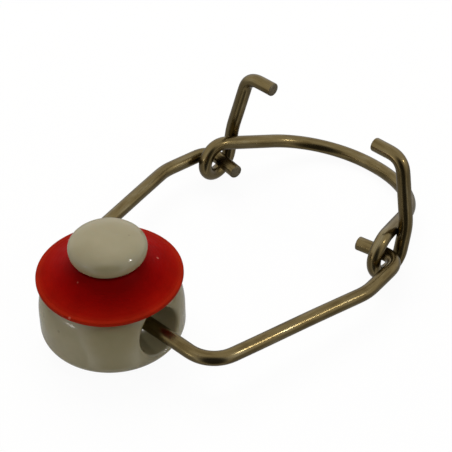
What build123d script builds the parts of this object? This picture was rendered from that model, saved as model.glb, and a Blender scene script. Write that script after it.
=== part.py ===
from build123d import *
import os
from math import asin, atan, cos, degrees, radians, sin, tan

# Swing-top bottle stopper, in millimetres.
# Frame: origin on the stopper's axis, at the face that it stands on. +X runs along
# the cross-hole, +Y from the stopper towards the pivot loops, +Z up. The stopper
# stands upside down: its head is at the bottom and its knob at the top. The loops
# and the far side of the thumb arc lie on the same surface as the head.

# ---- wire -------------------------------------------------------------------
wire_d = 2.65                   # gauge of both wires
wire_r = wire_d / 2
end_round = 0.2                 # burr taken off each cut end

# ---- stopper head -----------------------------------------------------------
head_r = 13.0                   # round head
land_r = 8.2                    # flat land that the head stands on
edge_rise = 3.0                 # height of the rounded lower edge
seat_z = 12.3                   # face that carries the washer
shoulder_in = 2.6               # the head's side curves in by this much, up to that face
shoulder_drop = 6.3             # and starts to do so this far below it
hole_z = 7.5                    # height of the cross-hole
hole_play = 0.35                # radial play of the bail in the cross-hole
mouth_r = 4.5                   # countersunk mouth of the cross-hole, at the surface
mouth_depth = 6.2               # depth of the countersink, from the head's radius
mouth_floor = 0.75              # share of mouth_r where the countersink's floor turns outwards
mouth_swell = 0.4               # share of its depth where its wall turns to run straight out
mouth_flare = 0.97              # share of mouth_r that the wall has there
cutter_reach = 1.1              # the cutting tool's length, in head radii
neck_r = 4.4                    # neck inside the washer
knob_r = 6.95                   # knob that keeps the washer on
knob_z = 19.7                   # height of the knob's widest ring
knob_rise = 2.8                 # knob above that ring
knob_drop = 2.1                 # knob below that ring
knob_fullness = 0.64            # 0.55 is an ellipse, 1 a square shoulder

# ---- washer -----------------------------------------------------------------
rim_t = 0.65                    # thickness at the rim
rim_z = 13.85                   # height of the rim's upper edge
rim_round = 0.28                # rounding of the rim's two edges
collar_r = 6.2                  # top of the cone, under the knob
collar_gap = 0.05               # washer to the knob's underside
cone_sag = 0.6                  # hollow of the cone's upper face

# ---- bail: crossbar, diverging arms, shoulders, inward tips -----------------
slide = 5.25                    # bail's middle, off the stopper's axis
bar_reach = 5.85                # the head's side to the arm's line, with the stopper mid-bar
bar_bend = 5.8                  # bend radii are on the wire's centre line
shoulder_x = 25.65              # bail's middle to the shoulder's corner
shoulder_y = 33.6               # crossbar to the shoulder's corner
shoulder_bend = 9.5
elbow_x = 24.25                 # bail's middle to the elbow's corner
elbow_y = 44.9                  # crossbar to the elbow's corner
elbow_bend = 2.9
tip_x = 15.5                    # bail's middle to the cut end of a tip
tip_lean = 10.5                 # degrees that a tip points back to the stopper

# ---- lever: hook tips, legs, pivot loops, thumb arc -------------------------
loop_r = 3.7                    # loop's centre line
leg_x = 21.95                   # bail's middle to the leg, where it joins the loop
arc_x = 21.1                    # bail's middle to the end of the loop, under the arc
leg_lean = 11.5                 # degrees that a leg leans away, below its knee
knee_h = 5.5                    # leg below its knee
knee_bend = 12.5
hook_lean = 6.6                 # degrees that a leg leans away, above its knee
hook_pinch = 13.6               # degrees that it leans inwards, above its knee
hook_h = 13.3                   # leg above its knee
hook_bend = 3.1
hook_x = 12.4                   # bail's middle to the cut end of a hook
arc_reach = 22.35               # top of the loops to the far side of the arc
arc_side = 17.8                 # degrees that the arc's sides close in
arc_flat = 0.6                  # straight run at the arc's far side
loop_corners = 4                # bends that make one loop
loop_fill = 0.97                # bend radius over loop_r, so that two bends never meet

# ---- places that follow from these ------------------------------------------
hole_r = wire_r + hole_play
washer_r = head_r                                # the rim is as wide as the head
bar_half = head_r + bar_reach                    # bail's middle to the arm's line there
collar_z = knob_z - knob_drop - collar_gap
pivot_x = (leg_x + arc_x) / 2                    # middle of a loop, from the bail's
pivot_y = elbow_y - (elbow_x - pivot_x) * tan(radians(tip_lean))
bail_drop = asin((hole_z - loop_r - wire_r) / pivot_y)   # the loops touch the table
loop_y = pivot_y * cos(bail_drop)
loop_z = loop_r + wire_r
arc_fall = 2 * atan(loop_r / arc_reach)          # the arc touches the table too


# ---- stopper head: one casting, with its cross-hole and two mouths ----------
with BuildPart() as stopper_head:
    with BuildSketch(Plane.XZ):
        with BuildLine():
            Line((0, 0), (land_r, 0))
            EllipticalCenterArc((land_r, edge_rise), head_r - land_r, edge_rise, -90, arc_size=90)
            Line((head_r, edge_rise), (head_r, seat_z - shoulder_drop))
            EllipticalCenterArc(
                (head_r - shoulder_in, seat_z - shoulder_drop), shoulder_in, shoulder_drop, 0, arc_size=90
            )
            Line((head_r - shoulder_in, seat_z), (neck_r, seat_z))
            Line((neck_r, seat_z), (neck_r, knob_z - knob_drop))
            Bezier(
                (neck_r, knob_z - knob_drop),
                (neck_r + (knob_r - neck_r) * knob_fullness, knob_z - knob_drop),
                (knob_r, knob_z - knob_drop * knob_fullness),
                (knob_r, knob_z),
            )
            Bezier(
                (knob_r, knob_z),
                (knob_r, knob_z + knob_rise * knob_fullness),
                (knob_r * knob_fullness, knob_z + knob_rise),
                (0, knob_z + knob_rise),
            )
            Line((0, knob_z + knob_rise), (0, 0))
        make_face()
    revolve(axis=Axis.Z)
    cross_plane = Plane(origin=(0, 0, hole_z))
    floor_x = head_r - mouth_depth
    with BuildSketch(cross_plane):
        with BuildLine():
            Bezier(
                (floor_x, hole_r),
                (floor_x, mouth_r * mouth_floor),
                (floor_x + mouth_depth * mouth_swell, mouth_r * mouth_flare),
                (head_r, mouth_r),
            )
            Line((head_r, mouth_r), (head_r * cutter_reach, mouth_r))
            Line((head_r * cutter_reach, mouth_r), (head_r * cutter_reach, 0))
            Line((head_r * cutter_reach, 0), (0, 0))
            Line((0, 0), (0, hole_r))
            Line((0, hole_r), (floor_x, hole_r))
        make_face()
        mirror(about=Plane.YZ)
    revolve(axis=Axis((0, 0, hole_z), (1, 0, 0)), mode=Mode.SUBTRACT)
stopper_head.part.label = "stopper_head"

# ---- sealing washer: a cone with a hollow upper face and a blunt rim --------
with BuildPart() as sealing_washer:
    with BuildSketch(Plane.XZ):
        with BuildLine():
            Line((neck_r, seat_z), (head_r - shoulder_in, seat_z))
            Line((head_r - shoulder_in, seat_z), (washer_r, rim_z - rim_t))
            Line((washer_r, rim_z - rim_t), (washer_r, rim_z))
            SagittaArc((washer_r, rim_z), (collar_r, collar_z), cone_sag)
            Line((collar_r, collar_z), (neck_r, collar_z))
            Line((neck_r, collar_z), (neck_r, seat_z))
        make_face()
    revolve(axis=Axis.Z)
    rim_edges = sealing_washer.edges().filter_by(
        lambda edge: edge.geom_type == GeomType.CIRCLE and abs(edge.radius - washer_r) < rim_round
    )
    fillet(rim_edges, rim_round)
sealing_washer.part.label = "sealing_washer"


def bend_wire(path):
    """Sweep the round wire along a path."""
    with BuildSketch(Plane(origin=path @ 0, z_dir=path % 0)) as section:
        Circle(wire_r)
    sweep(sections=section.sketch, path=path)


# ---- bail: one flat bent wire through the cross-hole ------------------------
bail_half = [
    (bar_half, 0),
    (shoulder_x, shoulder_y),
    (elbow_x, elbow_y),
    (tip_x, elbow_y - (elbow_x - tip_x) * tan(radians(tip_lean))),
]
bail_points = [(-x, y) for x, y in reversed(bail_half)] + bail_half
bail_bends = [elbow_bend, shoulder_bend, bar_bend, bar_bend, shoulder_bend, elbow_bend]
bail_plane = Plane(
    origin=(slide, 0, hole_z), x_dir=(1, 0, 0), z_dir=(0, sin(bail_drop), cos(bail_drop))
)
with BuildPart() as bail_wire:
    with BuildLine(bail_plane) as bail_path:
        FilletPolyline(*bail_points, radius=bail_bends)
    bend_wire(bail_path.line)
    fillet(bail_wire.faces().filter_by(GeomType.PLANE).edges(), end_round)
bail_wire.part.label = "bail_wire"

# ---- lever: hook, leg, loop and half the arc, then the same mirrored --------
start_angle = -leg_lean
loop_step = (270 + degrees(arc_fall) - leg_lean) / loop_corners
corner_r = loop_r / cos(radians(loop_step / 2))
leg_foot = Vector(
    leg_x,
    loop_y + loop_r * cos(radians(start_angle)),
    loop_z + loop_r * sin(radians(start_angle)),
)
knee = leg_foot + Vector(0, sin(radians(leg_lean)), cos(radians(leg_lean))) * knee_h
pinch = radians(hook_pinch)
lean = radians(hook_lean)
hook_corner = knee + Vector(-sin(pinch), sin(lean) * cos(pinch), cos(lean) * cos(pinch)) * hook_h
lever_half = [Vector(hook_x, hook_corner.Y, hook_corner.Z), hook_corner, knee]
for corner in range(loop_corners):
    angle = radians(start_angle - (corner + 0.5) * loop_step)
    share = corner / (loop_corners - 1)
    lever_half.append(
        Vector(
            leg_x + (arc_x - leg_x) * share,
            loop_y + corner_r * cos(angle),
            loop_z + corner_r * sin(angle),
        )
    )
arc_run = arc_reach + loop_r * tan(radians(loop_step / 2))   # from the loop's last corner
arc_corner_x = arc_x - arc_run * tan(radians(arc_side))
arc_corner = lever_half[-1] + Vector(
    arc_corner_x - arc_x, arc_run * cos(arc_fall), -arc_run * sin(arc_fall)
)
lever_half.append(arc_corner)
arc_bend = (arc_corner_x - arc_flat / 2) / tan(radians((90 - arc_side) / 2))
half_bends = [hook_bend, knee_bend] + [loop_r * loop_fill] * loop_corners + [arc_bend]
lever_points = [(slide + p.X, p.Y, p.Z) for p in lever_half]
lever_points += [(slide - p.X, p.Y, p.Z) for p in reversed(lever_half)]
with BuildPart() as lever_wire:
    with BuildLine() as lever_path:
        FilletPolyline(*lever_points, radius=half_bends + half_bends[::-1])
    bend_wire(lever_path.line)
    fillet(lever_wire.faces().filter_by(GeomType.PLANE).edges(), end_round)
lever_wire.part.label = "lever_wire"

os.makedirs("parts", exist_ok=True)
for piece in (stopper_head, sealing_washer, bail_wire, lever_wire):
    export_step(piece.part, f"parts/{piece.part.label}.step")
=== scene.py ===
"""Looks for the swing-top bottle stopper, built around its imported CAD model. Metres."""
import bpy
import math
import numpy as np
from mathutils import Matrix, Vector


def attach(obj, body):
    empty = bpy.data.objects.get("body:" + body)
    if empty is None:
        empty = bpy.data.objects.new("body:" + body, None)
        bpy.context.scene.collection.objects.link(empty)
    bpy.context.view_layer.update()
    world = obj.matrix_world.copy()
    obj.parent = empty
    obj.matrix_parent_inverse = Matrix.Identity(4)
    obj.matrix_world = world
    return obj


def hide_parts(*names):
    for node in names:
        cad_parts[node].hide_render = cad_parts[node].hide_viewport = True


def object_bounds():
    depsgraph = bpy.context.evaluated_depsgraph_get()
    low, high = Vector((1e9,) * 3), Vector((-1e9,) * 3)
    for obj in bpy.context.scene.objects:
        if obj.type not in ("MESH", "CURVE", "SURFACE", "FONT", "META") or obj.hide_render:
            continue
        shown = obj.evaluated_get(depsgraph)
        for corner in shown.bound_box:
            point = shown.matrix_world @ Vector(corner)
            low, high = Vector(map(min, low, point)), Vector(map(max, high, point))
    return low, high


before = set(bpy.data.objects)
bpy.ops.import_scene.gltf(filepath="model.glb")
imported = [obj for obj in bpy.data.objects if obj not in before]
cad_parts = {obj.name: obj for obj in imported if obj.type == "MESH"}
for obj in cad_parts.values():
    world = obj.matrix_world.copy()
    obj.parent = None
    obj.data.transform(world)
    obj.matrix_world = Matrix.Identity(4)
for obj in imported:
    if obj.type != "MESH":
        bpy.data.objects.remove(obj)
cad_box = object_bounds()
MM = 0.001

# ---- camera: angles in degrees, and the eye's place in the part's frame -------
AZIMUTH, ELEVATION, ROLL = 44.006, 40.727, -0.949
EYE = Vector((158.729, -134.871, 202.567)) * MM
LENS, SENSOR, NEAREST_SEEN = 127.836, 36, 0.01

az, el, roll = (math.radians(a) for a in (AZIMUTH, ELEVATION, ROLL))
back = Vector((math.sin(az) * math.cos(el), -math.cos(az) * math.cos(el), math.sin(el)))
right = Vector((0, 0, 1)).cross(back).normalized()
up = back.cross(right)
cam_x = math.cos(roll) * right + math.sin(roll) * up
cam_y = -math.sin(roll) * right + math.cos(roll) * up
camera_data = bpy.data.cameras.new("camera")
camera_data.lens = LENS
camera_data.sensor_width = SENSOR
camera_data.clip_start = NEAREST_SEEN
camera = bpy.data.objects.new("camera", camera_data)
camera.matrix_world = Matrix.Translation(EYE) @ Matrix((cam_x, cam_y, back)).transposed().to_4x4()
bpy.context.scene.collection.objects.link(camera)
bpy.context.scene.camera = camera
bpy.context.scene.view_settings.view_transform = "Standard"

# ---- stage levels -----------------------------------------------------------
AMBIENT = 0.47                                  # light from all round, on matt surfaces
AMBIENT_COLOUR = (1.0, 0.97, 0.92, 1)
HORIZON, BELOW = (-0.25, 0.20), 0.42            # mirrors see a darker world below the horizon
PAPER = (0.85, 0.85, 0.85, 1)
PAPER_HALF, PAPER_DROP = 3.0, 0.00002
SHADOWLESS = 0.95                               # share of the floor's white that takes no shadow
CARD_HALF_WIDTH, CARD_HALF_HEIGHT, CARD_DISTANCE = 0.52, 1.1, 0.5
CARD_CORE, CARD_LEVEL, CARD_EDGE = 0.35, 0.05, 0.9      # share that is darkest, then its two levels

# ---- colours ----------------------------------------------------------------
PORCELAIN_DARK, PORCELAIN_PALE = (0.235, 0.205, 0.115), (0.275, 0.246, 0.147)
BROWN_SPECK, GREY_SPECK = (0.16, 0.13, 0.08), (0.24, 0.22, 0.18)
# the washer's reds hold painted shade near the knob and a painted sheen towards the rim, where the edge is
# also a little worn
RED_KNOB_SHADE, RED_MIDDLE = (0.205, 0.0005, 0.0003), (0.245, 0.001, 0.0004)
RED_SHEEN, RED_EDGE_WEAR_AND_SHEEN = (0.262, 0.0035, 0.0008), (0.30, 0.013, 0.003)
RED_DUST = (0.55, 0.22, 0.16)
STEEL_BROWN, STEEL_OLIVE = (0.132, 0.093, 0.037), (0.185, 0.137, 0.059)
STEEL_PALE = (0.245, 0.198, 0.108)
STEEL_RUST, STEEL_CUT = (0.10, 0.065, 0.035), (0.13, 0.11, 0.075)

# ---- the CAD's sizes that the detailed meshes share, in millimetres ----------
wire_r = 1.325
head_r, land_r, edge_rise = 13.0, 8.2, 3.0
seat_z, shoulder_in, shoulder_drop = 12.3, 2.6, 6.3
hole_z, hole_r = 7.5, 1.675
mouth_r, mouth_depth = 4.5, 6.2
mouth_floor, mouth_swell, mouth_flare = 0.75, 0.4, 0.97      # shares of the two above
neck_r, knob_r, knob_z = 4.4, 6.95, 19.7
knob_rise, knob_drop, knob_fullness = 2.8, 2.1, 0.64
washer_r, rim_z, rim_t = 13.0, 13.85, 0.65
collar_r, collar_z, cone_sag = 6.2, 17.55, 0.6
slide = 5.25
bar_half, bar_bend = 18.85, 5.8
shoulder_x, shoulder_y, shoulder_bend = 25.65, 33.6, 9.5
elbow_x, elbow_y, elbow_bend = 24.25, 44.9, 2.9
tip_x, tip_lean = 15.5, math.radians(10.5)
loop_r, loop_corners, loop_fill = 3.7, 4, 0.97
leg_x, leg_lean = 21.95, math.radians(11.5)
knee_h, knee_bend = 5.5, 12.5
hook_h, hook_x, hook_bend = 13.3, 12.4, 3.1
hook_lean, hook_pinch = math.radians(6.6), math.radians(13.6)
arc_x, arc_reach, arc_side, arc_flat = 21.1, 22.35, math.radians(17.8), 0.6

pivot_x = (leg_x + arc_x) / 2
pivot_run = elbow_y - (elbow_x - pivot_x) * math.tan(tip_lean)      # from the crossbar, along the bail
bail_drop = math.asin((hole_z - loop_r - wire_r) / pivot_run)       # the loops touch the table
pivot_y, pivot_z = pivot_run * math.cos(bail_drop), loop_r + wire_r


# ---- small helpers ----------------------------------------------------------
def bezier(points, steps):
    t = np.linspace(0, 1, steps + 1)[:, None]
    a, b, c, d = (np.array(p, float) for p in points)
    return (1 - t) ** 3 * a + 3 * (1 - t) ** 2 * t * b + 3 * (1 - t) * t * t * c + t ** 3 * d


def arc(centre, radii, start, end, steps):
    angles = np.radians(np.linspace(start, end, steps + 1))
    return np.column_stack((centre[0] + radii[0] * np.cos(angles), centre[1] + radii[1] * np.sin(angles)))


def net_faces(rows, columns, closed=False):
    """Quads between rows of points. Each row is a loop, and closed joins the last row to the first."""
    faces = []
    for i in range(rows if closed else rows - 1):
        row, following = i * columns, (i + 1) % rows * columns
        for j in range(columns):
            k = (j + 1) % columns
            faces.append((row + j, row + k, following + k, following + j))
    return faces


def mesh_object(name, verts, faces, material):
    mesh = bpy.data.meshes.new(name)
    mesh.from_pydata([tuple(v) for v in verts], [], [tuple(f) for f in faces])
    mesh.validate()
    mesh.polygons.foreach_set("use_smooth", [True] * len(mesh.polygons))
    mesh.materials.append(material)
    obj = bpy.data.objects.new(name, mesh)
    bpy.context.scene.collection.objects.link(obj)
    return obj


class Tree:
    """Short names for building one node tree."""

    def __init__(self, tree):
        self.tree = tree

    def add(self, kind, **settings):
        node = self.tree.nodes.new(kind)
        for key, value in settings.items():
            setattr(node, key, value)
        return node

    def put(self, value, socket):
        """Links an output to a socket, or sets the socket to a plain value."""
        if isinstance(value, bpy.types.NodeSocket):
            self.tree.links.new(value, socket)
        else:
            socket.default_value = value

    def fill(self, node, **values):
        for key, value in values.items():
            self.put(value, node.inputs[key.replace("_", " ")])
        return node

    def sums(self, operation, a, b=0.0):
        node = self.add("ShaderNodeMath", operation=operation)
        self.put(a, node.inputs[0])
        self.put(b, node.inputs[1])
        return node.outputs[0]

    def vectors(self, operation, a, b):
        node = self.add("ShaderNodeVectorMath", operation=operation)
        self.put(a, node.inputs[0])
        self.put(b, node.inputs[1])
        return node.outputs[0]

    def smooth_range(self, value, start, end, bottom, top):
        node = self.add("ShaderNodeMapRange", interpolation_type="SMOOTHSTEP")
        self.fill(node, Value=value, From_Min=start, From_Max=end, To_Min=bottom, To_Max=top)
        return node.outputs["Result"]

    def white_to_the_eye(self, lit, white, share):
        """Shows white to camera, glossy and transmission rays, and the lit shader to the rest."""
        path = self.add("ShaderNodeLightPath")
        seen = path.outputs["Is Camera Ray"]
        for other in ("Is Glossy Ray", "Is Transmission Ray"):
            seen = self.sums("MAXIMUM", seen, path.outputs[other])
        mixed = self.add("ShaderNodeMixShader")
        self.put(self.sums("MULTIPLY", seen, share), mixed.inputs[0])
        self.put(lit, mixed.inputs[1])
        self.put(white, mixed.inputs[2])
        return mixed.outputs[0]


class Surface(Tree):
    """The node tree of one material, around its Principled shader."""

    def __init__(self, name):
        self.material = bpy.data.materials.new(name)
        self.material.use_nodes = True
        super().__init__(self.material.node_tree)
        self.shader = self.tree.nodes["Principled BSDF"]
        self.place = self.add("ShaderNodeTexCoord").outputs["Object"]

    def noise(self, scale, detail=2, roughness=0.5, place=None):
        node = self.add("ShaderNodeTexNoise")
        self.fill(node, Vector=place or self.place, Scale=scale, Detail=detail, Roughness=roughness)
        return node.outputs["Fac"]

    def ramp(self, value, stops, smooth=False):
        node = self.add("ShaderNodeValToRGB")
        node.color_ramp.interpolation = "EASE" if smooth else "LINEAR"
        spots = node.color_ramp.elements
        while len(spots) < len(stops):
            spots.new(0.5)
        for spot, (position, colour) in zip(spots, stops):
            spot.position = position
            spot.color = (*colour, 1) if isinstance(colour, tuple) else (colour, colour, colour, 1)
        self.fill(node, Fac=value)
        return node.outputs["Color"]

    def mix(self, share, a, b, blend="MIX"):
        node = self.add("ShaderNodeMix", data_type="RGBA", blend_type=blend)
        for value, socket in ((share, node.inputs[0]), (a, node.inputs[6]), (b, node.inputs[7])):
            self.put((*value, 1) if isinstance(value, tuple) else value, socket)
        return node.outputs[2]

    def bump(self, height, distance, strength, under=None):
        node = self.add("ShaderNodeBump")
        self.fill(node, Height=height, Distance=distance, Strength=strength)
        if under is not None:
            self.fill(node, Normal=under)
        return node.outputs["Normal"]

    def specks(self, scale, size, kept, shift=0.0):
        """Small round specks in a few cells of a grid: 1 in a speck, 0 elsewhere."""
        cells = self.add("ShaderNodeTexVoronoi")
        self.fill(cells, Vector=self.vectors("ADD", self.place, (shift, shift, shift)), Scale=scale)
        split = self.fill(self.add("ShaderNodeSeparateColor"), Color=cells.outputs["Color"])
        chosen = self.sums("LESS_THAN", split.outputs[0], kept)
        spot = self.ramp(cells.outputs["Distance"], ((size * 0.55, 1.0), (size, 0.0)), smooth=True)
        return self.sums("MULTIPLY", spot, chosen)


# ---- stage: white floor and surroundings, soft lamps, a dark card -------------
def bare_material(name):
    material = bpy.data.materials.new(name)
    material.use_nodes = True
    material.node_tree.nodes.clear()
    return material, Tree(material.node_tree)


def studio_world():
    world = bpy.data.worlds.new("studio")
    bpy.context.scene.world = world
    world.use_nodes = True
    world.node_tree.nodes.clear()
    n = Tree(world.node_tree)
    ambient = n.fill(n.add("ShaderNodeBackground"), Color=AMBIENT_COLOUR, Strength=AMBIENT)
    direction = n.add("ShaderNodeSeparateXYZ")
    n.fill(direction, Vector=n.add("ShaderNodeTexCoord").outputs["Generated"])
    dusk = n.smooth_range(direction.outputs["Z"], *HORIZON, BELOW, 1.0)
    level = n.sums("MAXIMUM", n.add("ShaderNodeLightPath").outputs["Is Camera Ray"], dusk)
    sky = n.fill(n.add("ShaderNodeBackground"), Color=(1, 1, 1, 1), Strength=level)
    surface = n.white_to_the_eye(ambient.outputs[0], sky.outputs[0], 1.0)
    n.fill(n.add("ShaderNodeOutputWorld"), Surface=surface)


def paper_floor():
    material, n = bare_material("floor_paper")
    paper = n.fill(n.add("ShaderNodeBsdfDiffuse"), Color=PAPER)
    glow = n.fill(n.add("ShaderNodeEmission"), Strength=1.0)
    surface = n.white_to_the_eye(paper.outputs[0], glow.outputs[0], SHADOWLESS)
    n.fill(n.add("ShaderNodeOutputMaterial"), Surface=surface)
    corners = [(x * PAPER_HALF, y * PAPER_HALF, 0) for x, y in ((-1, -1), (1, -1), (1, 1), (-1, 1))]
    floor = mesh_object("floor", corners, [(0, 1, 2, 3)], material)
    floor.location.z = -PAPER_DROP
    floor.visible_glossy = False


def aim(obj, place, target):
    obj.location = place
    obj.rotation_euler = (Vector(target) - Vector(place)).to_track_quat("-Z", "Y").to_euler()


middle = (Vector(cad_box[0]) + Vector(cad_box[1])) / 2


def lamp(name, direction, distance, size, watts, colour=(1, 1, 1), glossy=True):
    """A rectangular soft lamp that looks at the middle of the object."""
    data = bpy.data.lights.new(name, "AREA")
    data.shape = "RECTANGLE"
    data.size, data.size_y = size
    data.energy = watts
    data.color = colour
    obj = bpy.data.objects.new(name, data)
    bpy.context.scene.collection.objects.link(obj)
    aim(obj, middle + Vector(direction).normalized() * distance, middle)
    obj.visible_glossy = glossy


def dark_card():
    """An upright oval beyond the camera, which fades at its edge and is only seen in reflections."""
    material, n = bare_material("dark_card")
    place = n.add("ShaderNodeTexCoord").outputs["Object"]
    scaled = n.vectors("MULTIPLY", place, (1 / CARD_HALF_WIDTH, 1 / CARD_HALF_HEIGHT, 0))
    reach = n.add("ShaderNodeVectorMath", operation="LENGTH")
    n.put(scaled, reach.inputs[0])
    fade = n.smooth_range(reach.outputs["Value"], CARD_CORE, 1.0, CARD_LEVEL, CARD_EDGE)
    dim = n.fill(n.add("ShaderNodeEmission"), Strength=fade)
    n.fill(n.add("ShaderNodeOutputMaterial"), Surface=dim.outputs[0])
    ring = np.radians(np.arange(0, 360, 10))
    outline = np.column_stack((np.cos(ring) * CARD_HALF_WIDTH, np.sin(ring) * CARD_HALF_HEIGHT, 0 * ring))
    card = mesh_object("dark_card", outline, [range(len(ring))], material)
    front = Vector((back.x, back.y, 0)).normalized()
    aim(card, middle + front * CARD_DISTANCE, middle)
    card.visible_camera = False
    card.visible_shadow = False


studio_world()
paper_floor()
lamp("key", direction=(-0.45, 0.3, 0.85), distance=0.9, size=(0.7, 0.7), watts=7.0,
     colour=(1.0, 0.97, 0.93), glossy=False)
lamp("right_lamp", direction=(0.736, 0.330, 0.588), distance=0.7, size=(0.035, 0.05), watts=0.5)
lamp("left_window", direction=(-0.264, -0.950, 0.08), distance=0.7, size=(0.16, 0.05), watts=0.15)
dark_card()

# ---- stopper head: the CAD's form with smooth glaze and soft mouths ----------
LIP = 0.8                       # rounding of the mouths' lips, in millimetres
NET = 0.24                      # mesh size, in millimetres
BATCH = 8000                    # points measured at a time
PROJECTIONS = 4                 # times that the points are moved towards the form
LEAST_SLOPE = 0.3               # keeps a step short where two normals face each other

floor_x = head_r - mouth_depth
plug_outline = np.vstack((
    [(0, 0)],
    arc((land_r, edge_rise), (head_r - land_r, edge_rise), -90, 0, 60),
    arc((head_r - shoulder_in, seat_z - shoulder_drop), (shoulder_in, shoulder_drop), 0, 90, 60),
    [(neck_r, seat_z)],
    bezier((
        (neck_r, knob_z - knob_drop),
        (neck_r + (knob_r - neck_r) * knob_fullness, knob_z - knob_drop),
        (knob_r, knob_z - knob_drop * knob_fullness),
        (knob_r, knob_z),
    ), 40),
    bezier((
        (knob_r, knob_z),
        (knob_r, knob_z + knob_rise * knob_fullness),
        (knob_r * knob_fullness, knob_z + knob_rise),
        (0, knob_z + knob_rise),
    ), 90)[1:],
))
mouth_outline = np.vstack((
    [(3 * head_r, mouth_r)],
    bezier((
        (head_r, mouth_r),
        (floor_x + mouth_depth * mouth_swell, mouth_r * mouth_flare),
        (floor_x, mouth_r * mouth_floor),
        (floor_x, hole_r),
    ), 50),
    [(0, hole_r)],
))


def nearest(points, line):
    """Distance of flat points outside a closed outline, negative inside, and the outward normal."""
    start, run = line[:-1], np.diff(line, axis=0)
    length = (run ** 2).sum(1)
    normals = np.column_stack((run[:, 1], -run[:, 0])) / np.sqrt(length)[:, None]
    distance, which = np.empty(len(points)), np.empty(len(points), int)
    for first in range(0, len(points), BATCH):
        batch = slice(first, first + BATCH)
        rel = points[batch, None, :] - start
        t = np.clip((rel * run).sum(2) / length, 0, 1)
        squares = ((rel - t[..., None] * run) ** 2).sum(2)
        best = squares.argmin(1)
        rows = np.arange(len(best))
        side = np.sign((rel[rows, best] * normals[best]).sum(1))
        distance[batch] = np.sqrt(squares[rows, best]) * side
        which[batch] = best
    return distance, normals[which]


def on_the_plug(points):
    """Moves points near the stopper's surface on to it. The mouths' lips are rounded."""
    for _ in range(PROJECTIONS):
        x, y, z = points.T
        radius = np.maximum(np.hypot(x, y), 1e-6)
        outer, flat = nearest(np.column_stack((radius, z)), plug_outline)
        outer_normal = np.column_stack((flat[:, 0] * x / radius, flat[:, 0] * y / radius, flat[:, 1]))
        rise = z - hole_z
        reach = np.maximum(np.hypot(y, rise), 1e-6)
        hollow, flat = nearest(np.column_stack((np.abs(x), reach)), mouth_outline)
        hollow_normal = np.column_stack(
            (flat[:, 0] * np.sign(x), flat[:, 1] * y / reach, flat[:, 1] * rise / reach))
        blend = np.clip(1 - np.abs(outer + hollow) / LIP, 0, 1)
        share = np.where(outer > -hollow, 1 - blend / 2, blend / 2)[:, None]
        value = np.maximum(outer, -hollow) + blend ** 2 * LIP / 4
        slope = share * outer_normal - (1 - share) * hollow_normal
        points = points - slope * (value / np.maximum((slope ** 2).sum(1), LEAST_SLOPE))[:, None]
    return points


def plug_mesh(material):
    """An even net over the CAD solid, moved on to the smooth form."""
    source = bpy.data.objects.new("plug_source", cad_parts["stopper_head"].data.copy())
    bpy.context.scene.collection.objects.link(source)
    net = source.modifiers.new("net", "REMESH")
    net.mode = "VOXEL"
    net.voxel_size = NET * MM
    source.data.update()
    bpy.context.view_layer.update()
    mesh = bpy.data.meshes.new_from_object(source.evaluated_get(bpy.context.evaluated_depsgraph_get()))
    bpy.data.objects.remove(source)
    flat = np.empty(len(mesh.vertices) * 3)
    mesh.vertices.foreach_get("co", flat)
    points = on_the_plug(flat.reshape(-1, 3) / MM)
    mesh.vertices.foreach_set("co", (points * MM).ravel())
    mesh.polygons.foreach_set("use_smooth", [True] * len(mesh.polygons))
    mesh.materials.clear()
    mesh.materials.append(material)
    obj = bpy.data.objects.new("porcelain_plug", mesh)
    bpy.context.scene.collection.objects.link(obj)
    return obj


# ---- washer: a turned skin with moulding rings and a slightly uneven rim -----
RING_HEIGHT, RING_RATE = 0.005, 60              # moulding rings, and radians of them up the cone
GROOVE_DEPTH, GROOVE_PLACE, GROOVE_WIDTH = 0.03, 0.09, 0.012
LOW_ROUND, LOW_Z = 0.28, 13.40                  # rim's lower rounding
TOP_ROUND, TOP_Z = 0.30, 13.62                  # rim's upper rounding
LOOSE_FROM = 9.0                                # radius beyond which the washer is uneven
RIM_SWAYS = ((0.035, 2, 0.7), (0.02, 5, 2.1))   # height, waves round the rim, and phase
RIM_SHORT, SHORT_WAVES, SHORT_PHASE = 0.03, 3, 1


def washer_outline():
    """The washer's section: seat, underside, rim, hollow cone and collar."""
    run = np.linspace(0, 1, 121)
    chord = np.array((collar_r - washer_r, collar_z - rim_z))
    hollow = np.array((-chord[1], chord[0])) / np.hypot(*chord)
    face = np.array((washer_r, rim_z)) + run[:, None] * chord
    face = face + hollow * (4 * cone_sag * run * (1 - run))[:, None]
    ends = np.clip(run * 8, 0, 1) * np.clip((1 - run) * 8, 0, 1)
    groove = GROOVE_DEPTH * np.exp(-((run - GROOVE_PLACE) / GROOVE_WIDTH) ** 2)
    face[:, 1] += RING_HEIGHT * np.sin(run * RING_RATE) * ends - groove
    seat_r = head_r - shoulder_in
    slope = (rim_z - rim_t - seat_z) / (washer_r - seat_r)
    return np.vstack((
        [(neck_r, seat_z), (8.0, seat_z), (seat_r, seat_z)],
        [(seat_r + out, seat_z + out * slope) for out in (1.1, 2.1)],
        arc((washer_r - LOW_ROUND, LOW_Z), (LOW_ROUND, LOW_ROUND), -75, 0, 6),
        arc((washer_r - TOP_ROUND, TOP_Z), (TOP_ROUND, TOP_ROUND), 0, 62, 8),
        face[face[:, 0] < washer_r - 0.25],
        [(5.6, collar_z), (neck_r, collar_z)],
    ))


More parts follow.
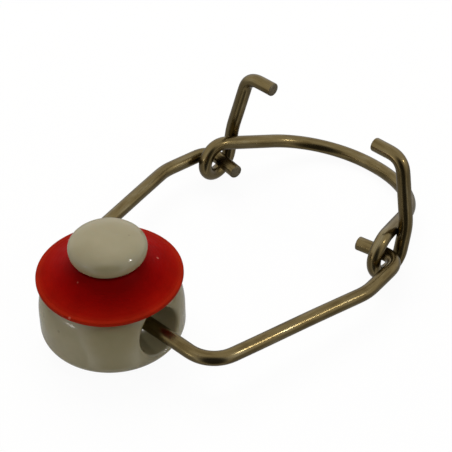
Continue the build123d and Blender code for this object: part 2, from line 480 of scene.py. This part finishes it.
def washer_mesh(material):
    """The section turned round, a little wavy and out of round towards its rim."""
    r, z = washer_outline().T
    around = np.radians(np.arange(0, 360, 1.25))[:, None]
    looseness = np.clip((r - LOOSE_FROM) / (washer_r - LOOSE_FROM), 0, 1) ** 2
    sway = sum(height * np.sin(waves * around + phase) for height, waves, phase in RIM_SWAYS)
    radius = r - RIM_SHORT * looseness * (1 + np.sin(SHORT_WAVES * around + SHORT_PHASE))
    verts = np.dstack((radius * np.cos(around), radius * np.sin(around), z + sway * looseness))
    faces = [face[::-1] for face in net_faces(len(around), len(r), closed=True)]
    return mesh_object("rubber_washer", verts.reshape(-1, 3) * MM, faces, material)


# ---- wires: round, drawn, a little flattened in the bends, cut square --------
WIRE_SIDES = 36
END_RINGS = ((0.0, 0.55), (0.0, 0.86), (0.07, 0.955), (0.2, 1.0))   # depth, share of the wire's radius
WAVY, WAVY_FROM = 0.035, 6.0    # hand-bent waviness, and how far from an end it is full
WAVE_RATES = 0.21, 0.17         # its radians for each millimetre, in two directions
FLATTENED, TIGHT = 0.035, 3.0   # share of the radius that a bend of the second size takes
PATH_STEP, PATH_ROUNDS = 0.3, 6     # spacing of a path's points, and times that it is smoothed
BEND_POINTS = 40


def rounded_path(points, radii):
    """Even points along a run of straight lines whose corners are rounded."""
    points = [np.array(p, float) for p in points]
    dense = [points[0]]
    for before, corner, after, radius in zip(points, points[1:], points[2:], radii):
        a = (before - corner) / np.linalg.norm(before - corner)
        b = (after - corner) / np.linalg.norm(after - corner)
        turn = math.acos(max(-1, min(1, -(a @ b))))
        reach = radius * math.tan(turn / 2)
        centre = corner + (a + b) / np.linalg.norm(a + b) * radius / math.cos(turn / 2)
        u = corner + a * reach - centre
        v = corner + b * reach - centre
        v = v - (v @ u) / (u @ u) * u
        v *= np.linalg.norm(u) / np.linalg.norm(v)
        for angle in np.linspace(0, turn, BEND_POINTS):
            dense.append(centre + u * math.cos(angle) + v * math.sin(angle))
    dense.append(points[-1])
    dense = np.array(dense)
    along = np.concatenate(([0], np.cumsum(np.linalg.norm(np.diff(dense, axis=0), axis=1))))
    even = np.linspace(0, along[-1], int(along[-1] / PATH_STEP) + 1)
    line = np.column_stack([np.interp(even, along, dense[:, i]) for i in range(3)])
    for _ in range(PATH_ROUNDS):
        line[1:-1] = line[1:-1] * 0.5 + (line[:-2] + line[2:]) * 0.25
    return line


def bail_line():
    """The bail's centre line: tip, elbow, shoulder and half the crossbar, then the same mirrored."""
    half = [
        (bar_half, 0),
        (shoulder_x, shoulder_y),
        (elbow_x, elbow_y),
        (tip_x, elbow_y - (elbow_x - tip_x) * math.tan(tip_lean)),
    ]
    flat = [(-x, y) for x, y in reversed(half)] + half
    points = [(slide + x, y * math.cos(bail_drop), hole_z - y * math.sin(bail_drop)) for x, y in flat]
    bends = (elbow_bend, shoulder_bend, bar_bend)
    return rounded_path(points, bends + bends[::-1])


def lever_line():
    """The lever's centre line: hook, leg, loop and half the arc, then the same mirrored."""
    fall = 2 * math.atan(loop_r / arc_reach)
    loop_step = (math.radians(270) + fall - leg_lean) / loop_corners
    corner_r = loop_r / math.cos(loop_step / 2)
    foot = np.array((leg_x, pivot_y + loop_r * math.cos(leg_lean), pivot_z - loop_r * math.sin(leg_lean)))
    knee = foot + knee_h * np.array((0, math.sin(leg_lean), math.cos(leg_lean)))
    level = math.cos(hook_pinch)
    hook_run = np.array((-math.sin(hook_pinch), math.sin(hook_lean) * level, math.cos(hook_lean) * level))
    hook = knee + hook_h * hook_run
    half = [np.array((hook_x, hook[1], hook[2])), hook, knee]
    for corner in range(loop_corners):
        angle = -leg_lean - (corner + 0.5) * loop_step
        x = leg_x + (arc_x - leg_x) * corner / (loop_corners - 1)
        half.append(np.array((x, pivot_y + corner_r * math.cos(angle), pivot_z + corner_r * math.sin(angle))))
    run = arc_reach + loop_r * math.tan(loop_step / 2)
    end_x = arc_x - run * math.tan(arc_side)
    half.append(half[-1] + np.array((end_x - arc_x, run * math.cos(fall), -run * math.sin(fall))))
    arc_bend = (end_x - arc_flat / 2) / math.tan((math.pi / 2 - arc_side) / 2)
    bends = [hook_bend, knee_bend] + [loop_r * loop_fill] * loop_corners + [arc_bend]
    centre = np.array((slide, 0, 0))
    points = [centre + p for p in half] + [centre + p * (-1, 1, 1) for p in reversed(half)]
    return rounded_path(points, bends + bends[::-1])


def wire_axes(line):
    """Unit tangents along a line, and two unit vectors across it that don't twist."""
    tangents = np.gradient(line, axis=0)
    tangents /= np.linalg.norm(tangents, axis=1)[:, None]
    side = np.cross(tangents[0], (0.3, 0.5, 0.8))
    sides = []
    for tangent in tangents:
        side = side - (side @ tangent) * tangent
        side = side / np.linalg.norm(side)
        sides.append(side)
    return tangents, np.array(sides), np.cross(tangents, sides)


def wire_mesh(name, line, material, phase):
    """A round wire along a line of points, with burred and scored cut ends."""
    last = len(line) - 1
    step = np.linalg.norm(line[1] - line[0])
    along = np.arange(len(line)) * step
    tangents, sides, others = wire_axes(line)
    bends = np.gradient(tangents, axis=0) / step
    bends[[0, last]] = 0
    fade = np.clip(np.minimum(along, along[last] - along) / WAVY_FROM, 0, 1)
    sideways = np.sin(along * WAVE_RATES[0] + phase)[:, None] * sides
    upwards = np.sin(along * WAVE_RATES[1] + 2 * phase)[:, None] * others
    centres = line + WAVY * fade[:, None] * (sideways + upwards)

    rings = [(line[0] + tangents[0] * depth, 0, share, depth) for depth, share in END_RINGS]
    rings += [(centres[i], i, 1.0, along[i]) for i in range(1, last)]
    for depth, share in reversed(END_RINGS):
        rings.append((line[last] - tangents[last] * depth, last, share, along[last] - depth))
    angles = np.linspace(0, 2 * math.pi, WIRE_SIDES, endpoint=False)
    turn = np.column_stack((np.cos(angles), np.sin(angles)))
    verts, marks = [], []
    for centre, i, share, place in rings:
        spokes = turn @ np.array((sides[i], others[i]))
        tightness = np.linalg.norm(bends[i])
        pressed = (spokes @ bends[i] / max(tightness, 1e-6)) ** 2
        radii = wire_r * share * (1 - FLATTENED * min(1, tightness * TIGHT) * pressed)
        verts.append(centre + spokes * radii[:, None])
        marks.append([(place, across, above, share < 1) for across, above in turn])
    verts += [line[:1], line[last:]]
    marks += [[(0, 0, 0, 1)], [(0, 0, 0, 1)]]
    faces = net_faces(len(rings), WIRE_SIDES)
    hub = len(rings) * WIRE_SIDES
    for s in range(WIRE_SIDES):
        t = (s + 1) % WIRE_SIDES
        faces.append((hub, t, s))
        faces.append((hub + 1, hub - WIRE_SIDES + s, hub - WIRE_SIDES + t))

    obj = mesh_object(name, np.vstack(verts) * MM, faces, material)
    marks = np.vstack(marks)
    drawn = obj.data.attributes.new("drawn", "FLOAT_VECTOR", "POINT")
    drawn.data.foreach_set("vector", marks[:, :3].ravel())
    cut = obj.data.attributes.new("cut", "FLOAT", "POINT")
    cut.data.foreach_set("value", marks[:, 3].copy())
    return obj


# ---- materials --------------------------------------------------------------
def porcelain():
    n = Surface("porcelain_glaze")
    tone = n.ramp(n.noise(120, detail=3), ((0.3, PORCELAIN_DARK), (0.7, PORCELAIN_PALE)), smooth=True)
    brown = n.specks(scale=420, size=0.15, kept=0.12)
    grey = n.specks(scale=900, size=0.2, kept=0.05, shift=3.1)
    tone = n.mix(n.sums("MULTIPLY", brown, 0.55), tone, BROWN_SPECK)
    tone = n.mix(n.sums("MULTIPLY", grey, 0.4), tone, GREY_SPECK)
    gloss = n.ramp(n.noise(260), ((0.35, 0.10), (0.75, 0.17)))
    peel = n.bump(n.noise(520, roughness=0.4), distance=0.00006, strength=0.35)
    pits = n.bump(n.sums("SUBTRACT", 1.0, brown), distance=0.00003, strength=0.5, under=peel)
    n.fill(n.shader, Base_Color=tone, Roughness=gloss, Normal=pits)
    n.fill(n.shader, IOR=1.52, Subsurface_Weight=0.06, Subsurface_Scale=0.0012)
    return n.material


def rubber():
    n = Surface("moulded_red_rubber")
    split = n.fill(n.add("ShaderNodeSeparateXYZ"), Vector=n.place)
    x, y = split.outputs["X"], split.outputs["Y"]
    radius = n.sums("SQRT", n.sums("ADD", n.sums("MULTIPLY", x, x), n.sums("MULTIPLY", y, y)))
    # painted shade darkens the washer towards the knob, and a painted sheen lightens it towards the rim
    stops = ((0.50, RED_KNOB_SHADE), (0.68, RED_MIDDLE), (0.88, RED_SHEEN), (0.99, RED_EDGE_WEAR_AND_SHEEN))
    tone = n.ramp(n.sums("DIVIDE", radius, washer_r * MM), stops, smooth=True)
    cloud = n.ramp(n.noise(190, detail=4, roughness=0.6), ((0.35, 0.78), (0.7, 1.0)))
    tone = n.mix(1.0, tone, cloud, "MULTIPLY")
    dust = n.specks(scale=620, size=0.2, kept=0.05, shift=1.7)
    tone = n.mix(n.sums("MULTIPLY", dust, 0.35), tone, RED_DUST)
    gloss = n.ramp(n.noise(340, detail=3, roughness=0.6), ((0.3, 0.34), (0.75, 0.52)))
    turning_rate = 14000        # radians of moulding marks for each metre
    rings = n.sums("SINE", n.sums("MULTIPLY", radius, turning_rate))
    fine = n.bump(n.noise(2600, detail=3, roughness=0.6), distance=0.00002, strength=0.35)
    uneven_rings = n.sums("MULTIPLY", rings, n.noise(150))
    turned = n.bump(uneven_rings, distance=0.00001, strength=0.3, under=fine)
    n.fill(n.shader, Base_Color=tone, Roughness=gloss, Normal=turned)
    n.fill(n.shader, IOR=1.2, Specular_IOR_Level=0.08)
    return n.material


def steel():
    n = Surface("drawn_steel_wire")
    drawn = n.add("ShaderNodeAttribute", attribute_name="drawn").outputs["Vector"]
    cut = n.add("ShaderNodeAttribute", attribute_name="cut").outputs["Fac"]
    patches = n.noise(1.0, detail=3, roughness=0.6, place=n.vectors("MULTIPLY", drawn, (0.16, 1.1, 1.1)))
    streaks = n.noise(1.0, detail=3, roughness=0.65, place=n.vectors("MULTIPLY", drawn, (0.12, 9.0, 9.0)))
    tone = n.ramp(patches, ((0.32, STEEL_BROWN), (0.5, STEEL_OLIVE), (0.72, STEEL_PALE)), smooth=True)
    tone = n.mix(1.0, tone, n.ramp(streaks, ((0.3, 0.72), (0.65, 1.0))), "MULTIPLY")
    rust = n.ramp(n.noise(1400, detail=3, roughness=0.7), ((0.62, 0.0), (0.72, 1.0)))
    tone = n.mix(n.sums("MULTIPLY", rust, 0.45), tone, STEEL_RUST)
    tone = n.mix(n.sums("MULTIPLY", cut, 0.75), tone, STEEL_CUT)
    worn = n.ramp(patches, ((0.3, 0.25), (0.75, 0.17)))
    rough = n.sums("ADD", n.sums("MULTIPLY", streaks, 0.05), worn)
    rough = n.sums("ADD", n.sums("MULTIPLY", cut, 0.22), rough)
    grain = n.bump(streaks, distance=0.00002, strength=0.2)
    scoring = n.add("ShaderNodeTexWave", wave_type="BANDS", bands_direction="Z")
    n.fill(scoring, Vector=n.place, Scale=1500.0, Distortion=3.0, Detail=3.0)
    scores = n.sums("MULTIPLY", scoring.outputs["Fac"], cut)
    scored = n.bump(scores, distance=0.00006, strength=0.8, under=grain)
    n.fill(n.shader, Base_Color=tone, Roughness=rough, Normal=scored, Metallic=1)
    return n.material


# ---- the four pieces, each riding its CAD body and replacing its CAD node ----
steel_material = steel()
plug = plug_mesh(porcelain())
washer = washer_mesh(rubber())
bail = wire_mesh("bent_bail", bail_line(), steel_material, phase=0.4)
lever = wire_mesh("bent_lever", lever_line(), steel_material, phase=1.9)
for piece, node, body, slot in (
    (plug, "stopper_head", "stopper", "porcelain"),
    (washer, "sealing_washer", "stopper", "red_rubber"),
    (bail, "bail_wire", "bail", "steel_wire"),
    (lever, "lever_wire", "lever", "steel_wire"),
):
    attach(piece, body)
    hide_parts(node)
